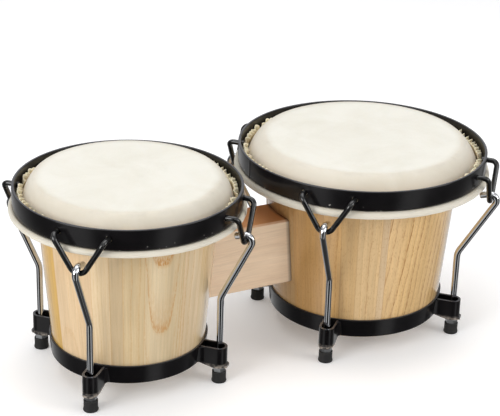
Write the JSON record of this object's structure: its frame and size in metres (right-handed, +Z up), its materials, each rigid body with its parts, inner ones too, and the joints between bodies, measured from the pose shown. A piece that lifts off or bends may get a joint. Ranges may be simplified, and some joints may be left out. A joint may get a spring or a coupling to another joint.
{
  "type": "bongo drums",
  "caption": "Bongo drums: tapered wooden shells joined by a wooden block, rawhide heads under steel rims drawn down by hooks and tuning rods, standing on rubber feet.",
  "frame": {"origin": "on the floor under the middle of the overall bounding box", "axes": "+X runs from the small drum to the large drum, the longest direction; +Z is up, out of the playing heads; the feet stand on z = 0"},
  "size_m": [0.4502, 0.2332, 0.1835],
  "materials": {
    "pale_wood": "clear gloss lacquer over pale planks",
    "golden_wood": "clear gloss lacquer over open-grained golden planks",
    "raw_wood": "bare sanded wood",
    "rawhide": "dry untanned hide, matt",
    "black_steel": "black satin powder coat",
    "gloss_black_steel": "gloss black coated wire",
    "chrome": "polished chrome plating",
    "plated_steel": "dull zinc plating",
    "rubber": "matt moulded rubber"
  },
  "bodies": {
    "frame": {"small_shell": "pale_wood", "small_head_skin": "rawhide", "small_bottom_band": "black_steel", "small_backing_plate": "plated_steel", "small_block_bolt_1": "plated_steel", "small_block_bolt_2": "plated_steel", "small_washer_1": "plated_steel", "small_washer_2": "plated_steel", "small_washer_3": "plated_steel", "small_washer_4": "plated_steel", "large_shell": "golden_wood", "large_head_skin": "rawhide", "large_bottom_band": "black_steel", "large_backing_plate": "plated_steel", "large_block_bolt_1": "plated_steel", "large_block_bolt_2": "plated_steel", "large_washer_1": "plated_steel", "large_washer_2": "plated_steel", "large_washer_3": "plated_steel", "large_washer_4": "plated_steel", "centre_block": "raw_wood"},
    "small_tuning_ring": {"small_rim": "black_steel", "small_flesh_hoop": "plated_steel", "small_head_collar": "rawhide"},
    "small_hook_link_1": {"small_hook_1": "gloss_black_steel"},
    "small_rod_link_1": {"small_rod_1": "chrome"},
    "small_tuning_nut_1": {"small_nut_1": "plated_steel", "small_foot_1": "rubber"},
    "small_hook_link_2": {"small_hook_2": "gloss_black_steel"},
    "small_rod_link_2": {"small_rod_2": "chrome"},
    "small_tuning_nut_2": {"small_nut_2": "plated_steel", "small_foot_2": "rubber"},
    "small_hook_link_3": {"small_hook_3": "gloss_black_steel"},
    "small_rod_link_3": {"small_rod_3": "chrome"},
    "small_tuning_nut_3": {"small_nut_3": "plated_steel", "small_foot_3": "rubber"},
    "small_hook_link_4": {"small_hook_4": "gloss_black_steel"},
    "small_rod_link_4": {"small_rod_4": "chrome"},
    "small_tuning_nut_4": {"small_nut_4": "plated_steel", "small_foot_4": "rubber"},
    "large_tuning_ring": {"large_rim": "black_steel", "large_flesh_hoop": "plated_steel", "large_head_collar": "rawhide"},
    "large_hook_link_1": {"large_hook_1": "gloss_black_steel"},
    "large_rod_link_1": {"large_rod_1": "chrome"},
    "large_tuning_nut_1": {"large_nut_1": "plated_steel", "large_foot_1": "rubber"},
    "large_hook_link_2": {"large_hook_2": "gloss_black_steel"},
    "large_rod_link_2": {"large_rod_2": "chrome"},
    "large_tuning_nut_2": {"large_nut_2": "plated_steel", "large_foot_2": "rubber"},
    "large_hook_link_3": {"large_hook_3": "gloss_black_steel"},
    "large_rod_link_3": {"large_rod_3": "chrome"},
    "large_tuning_nut_3": {"large_nut_3": "plated_steel", "large_foot_3": "rubber"},
    "large_hook_link_4": {"large_hook_4": "gloss_black_steel"},
    "large_rod_link_4": {"large_rod_4": "chrome"},
    "large_tuning_nut_4": {"large_nut_4": "plated_steel", "large_foot_4": "rubber"}
  },
  "joints": [
    {"name": "small_tuning", "type": "slide", "parent": "frame", "child": "small_tuning_ring", "axis": [0, 0, 1], "range_m": [-0.004, 0.0015]},
    {"name": "small_hook_swing_1", "type": "hinge", "parent": "small_tuning_ring", "child": "small_hook_link_1", "pos_m": [-0.05574, 0.06731, 0.1683], "axis": [0.7071, -0.7071, 0], "range_deg": [0, 5]},
    {"name": "small_rod_swing_1", "type": "hinge", "parent": "small_hook_link_1", "child": "small_rod_link_1", "pos_m": [-0.04767, 0.07538, 0.13899], "axis": [0.7071, -0.7071, 0], "range_deg": [-6.5, 0]},
    {"name": "small_nut_turn_1", "type": "hinge", "parent": "frame", "child": "small_tuning_nut_1", "pos_m": [-0.06259, 0.06046, 0.012], "axis": [0, 0, 1], "range_deg": [-541, 1441]},
    {"name": "small_hook_swing_2", "type": "hinge", "parent": "small_tuning_ring", "child": "small_hook_link_2", "pos_m": [-0.19036, 0.06731, 0.1683], "axis": [0.7071, 0.7071, 0], "range_deg": [0, 5]},
    {"name": "small_rod_swing_2", "type": "hinge", "parent": "small_hook_link_2", "child": "small_rod_link_2", "pos_m": [-0.19843, 0.07538, 0.13899], "axis": [0.7071, 0.7071, 0], "range_deg": [-6.5, 0]},
    {"name": "small_nut_turn_2", "type": "hinge", "parent": "frame", "child": "small_tuning_nut_2", "pos_m": [-0.18351, 0.06046, 0.012], "axis": [0, 0, 1], "range_deg": [-541, 1441]},
    {"name": "small_hook_swing_3", "type": "hinge", "parent": "small_tuning_ring", "child": "small_hook_link_3", "pos_m": [-0.19036, -0.06731, 0.1683], "axis": [-0.7071, 0.7071, 0], "range_deg": [0, 5]},
    {"name": "small_rod_swing_3", "type": "hinge", "parent": "small_hook_link_3", "child": "small_rod_link_3", "pos_m": [-0.19843, -0.07538, 0.13899], "axis": [-0.7071, 0.7071, 0], "range_deg": [-6.5, 0]},
    {"name": "small_nut_turn_3", "type": "hinge", "parent": "frame", "child": "small_tuning_nut_3", "pos_m": [-0.18351, -0.06046, 0.012], "axis": [0, 0, 1], "range_deg": [-541, 1441]},
    {"name": "small_hook_swing_4", "type": "hinge", "parent": "small_tuning_ring", "child": "small_hook_link_4", "pos_m": [-0.05574, -0.06731, 0.1683], "axis": [-0.7071, -0.7071, 0], "range_deg": [0, 5]},
    {"name": "small_rod_swing_4", "type": "hinge", "parent": "small_hook_link_4", "child": "small_rod_link_4", "pos_m": [-0.04767, -0.07538, 0.13899], "axis": [-0.7071, -0.7071, 0], "range_deg": [-6.5, 0]},
    {"name": "small_nut_turn_4", "type": "hinge", "parent": "frame", "child": "small_tuning_nut_4", "pos_m": [-0.06259, -0.06046, 0.012], "axis": [0, 0, 1], "range_deg": [-541, 1441]},
    {"name": "large_tuning", "type": "slide", "parent": "frame", "child": "large_tuning_ring", "axis": [0, 0, 1], "range_m": [-0.004, 0.0015]},
    {"name": "large_hook_swing_1", "type": "hinge", "parent": "large_tuning_ring", "child": "large_hook_link_1", "pos_m": [0.18635, 0.0778, 0.1683], "axis": [0.7071, -0.7071, 0], "range_deg": [0, 5]},
    {"name": "large_rod_swing_1", "type": "hinge", "parent": "large_hook_link_1", "child": "large_rod_link_1", "pos_m": [0.19418, 0.08563, 0.13899], "axis": [0.7071, -0.7071, 0], "range_deg": [-6.5, 0]},
    {"name": "large_nut_turn_1", "type": "hinge", "parent": "frame", "child": "large_tuning_nut_1", "pos_m": [0.17608, 0.06753, 0.012], "axis": [0, 0, 1], "range_deg": [-541, 1441]},
    {"name": "large_hook_swing_2", "type": "hinge", "parent": "large_tuning_ring", "child": "large_hook_link_2", "pos_m": [0.03075, 0.0778, 0.1683], "axis": [0.7071, 0.7071, 0], "range_deg": [0, 5]},
    {"name": "large_rod_swing_2", "type": "hinge", "parent": "large_hook_link_2", "child": "large_rod_link_2", "pos_m": [0.02292, 0.08563, 0.13899], "axis": [0.7071, 0.7071, 0], "range_deg": [-6.5, 0]},
    {"name": "large_nut_turn_2", "type": "hinge", "parent": "frame", "child": "large_tuning_nut_2", "pos_m": [0.04102, 0.06753, 0.012], "axis": [0, 0, 1], "range_deg": [-541, 1441]},
    {"name": "large_hook_swing_3", "type": "hinge", "parent": "large_tuning_ring", "child": "large_hook_link_3", "pos_m": [0.03075, -0.0778, 0.1683], "axis": [-0.7071, 0.7071, 0], "range_deg": [0, 5]},
    {"name": "large_rod_swing_3", "type": "hinge", "parent": "large_hook_link_3", "child": "large_rod_link_3", "pos_m": [0.02292, -0.08563, 0.13899], "axis": [-0.7071, 0.7071, 0], "range_deg": [-6.5, 0]},
    {"name": "large_nut_turn_3", "type": "hinge", "parent": "frame", "child": "large_tuning_nut_3", "pos_m": [0.04102, -0.06753, 0.012], "axis": [0, 0, 1], "range_deg": [-541, 1441]},
    {"name": "large_hook_swing_4", "type": "hinge", "parent": "large_tuning_ring", "child": "large_hook_link_4", "pos_m": [0.18635, -0.0778, 0.1683], "axis": [-0.7071, -0.7071, 0], "range_deg": [0, 5]},
    {"name": "large_rod_swing_4", "type": "hinge", "parent": "large_hook_link_4", "child": "large_rod_link_4", "pos_m": [0.19418, -0.08563, 0.13899], "axis": [-0.7071, -0.7071, 0], "range_deg": [-6.5, 0]},
    {"name": "large_nut_turn_4", "type": "hinge", "parent": "frame", "child": "large_tuning_nut_4", "pos_m": [0.17608, -0.06753, 0.012], "axis": [0, 0, 1], "range_deg": [-541, 1441]}
  ],
  "couplings": [
    {"joint": "small_rod_swing_1", "follows": "small_hook_swing_1", "ratio": -1.2327},
    {"joint": "small_nut_turn_1", "follows": "small_tuning", "rad_per_m": -6283.2},
    {"joint": "small_rod_swing_2", "follows": "small_hook_swing_2", "ratio": -1.2327},
    {"joint": "small_nut_turn_2", "follows": "small_tuning", "rad_per_m": -6283.2},
    {"joint": "small_rod_swing_3", "follows": "small_hook_swing_3", "ratio": -1.2327},
    {"joint": "small_nut_turn_3", "follows": "small_tuning", "rad_per_m": -6283.2},
    {"joint": "small_rod_swing_4", "follows": "small_hook_swing_4", "ratio": -1.2327},
    {"joint": "small_nut_turn_4", "follows": "small_tuning", "rad_per_m": -6283.2},
    {"joint": "large_rod_swing_1", "follows": "large_hook_swing_1", "ratio": -1.2327},
    {"joint": "large_nut_turn_1", "follows": "large_tuning", "rad_per_m": -6283.2},
    {"joint": "large_rod_swing_2", "follows": "large_hook_swing_2", "ratio": -1.2327},
    {"joint": "large_nut_turn_2", "follows": "large_tuning", "rad_per_m": -6283.2},
    {"joint": "large_rod_swing_3", "follows": "large_hook_swing_3", "ratio": -1.2327},
    {"joint": "large_nut_turn_3", "follows": "large_tuning", "rad_per_m": -6283.2},
    {"joint": "large_rod_swing_4", "follows": "large_hook_swing_4", "ratio": -1.2327},
    {"joint": "large_nut_turn_4", "follows": "large_tuning", "rad_per_m": -6283.2}
  ]
}
